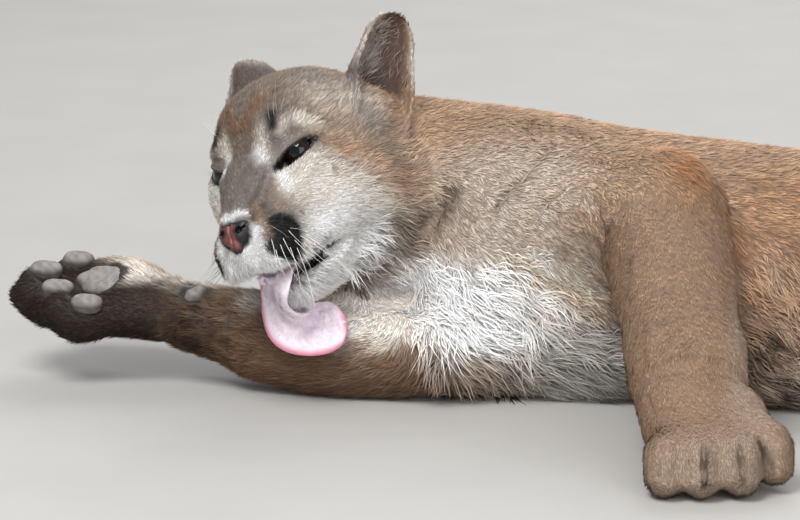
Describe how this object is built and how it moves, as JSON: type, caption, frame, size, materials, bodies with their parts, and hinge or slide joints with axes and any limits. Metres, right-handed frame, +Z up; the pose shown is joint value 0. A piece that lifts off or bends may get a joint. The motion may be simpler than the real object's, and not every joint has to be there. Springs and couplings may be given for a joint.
{
  "type": "lying cougar model",
  "caption": "Life-size still model of a cougar that lies on its side with its head turned, tongue out on one outstretched foreleg.",
  "frame": {"origin": "middle of the bounding box's underside, on the floor", "axes": "+Z up, +X from the head towards the tail along the body, -Y the side the belly, the legs and the face point to"},
  "size_m": [1.4416, 0.5364, 0.3149],
  "materials": {
    "coat": "short tawny fur",
    "pale_coat": "short white fur",
    "nose": "bare brick-red skin",
    "tongue": "moist and finely rough",
    "eye": "wet gloss",
    "pad": "bare grey skin"
  },
  "bodies": {
    "root": {"belly": "coat", "chest": "coat", "ear_left": "coat", "ear_right": "coat", "eye_left": "eye", "eye_right": "eye", "head": "coat", "hind_sole_pad": "pad", "hind_toe_pad_2": "pad", "hind_toe_pad_3": "pad", "hind_toe_pad_4": "pad", "hind_toe_pad_5": "pad", "hips": "coat", "left_forearm": "coat", "left_forepaw": "coat", "left_hind_foot": "coat", "left_hindpaw": "coat", "left_shank": "coat", "left_thigh": "coat", "left_upper_arm": "coat", "lower_jaw": "pale_coat", "neck": "coat", "nose_pad": "nose", "right_elbow": "coat", "right_forearm": "coat", "right_forepaw": "coat", "right_hind_foot": "coat", "right_hindpaw": "coat", "right_palm_pad": "pad", "right_shank": "coat", "right_thigh": "coat", "right_toe_pad_2": "pad", "right_toe_pad_3": "pad", "right_toe_pad_4": "pad", "right_toe_pad_5": "pad", "tail_end": "coat", "tail_middle": "coat", "tail_root": "coat", "tail_tip": "coat", "tongue": "tongue", "wrist_pad": "pad"}
  },
  "joints": []
}
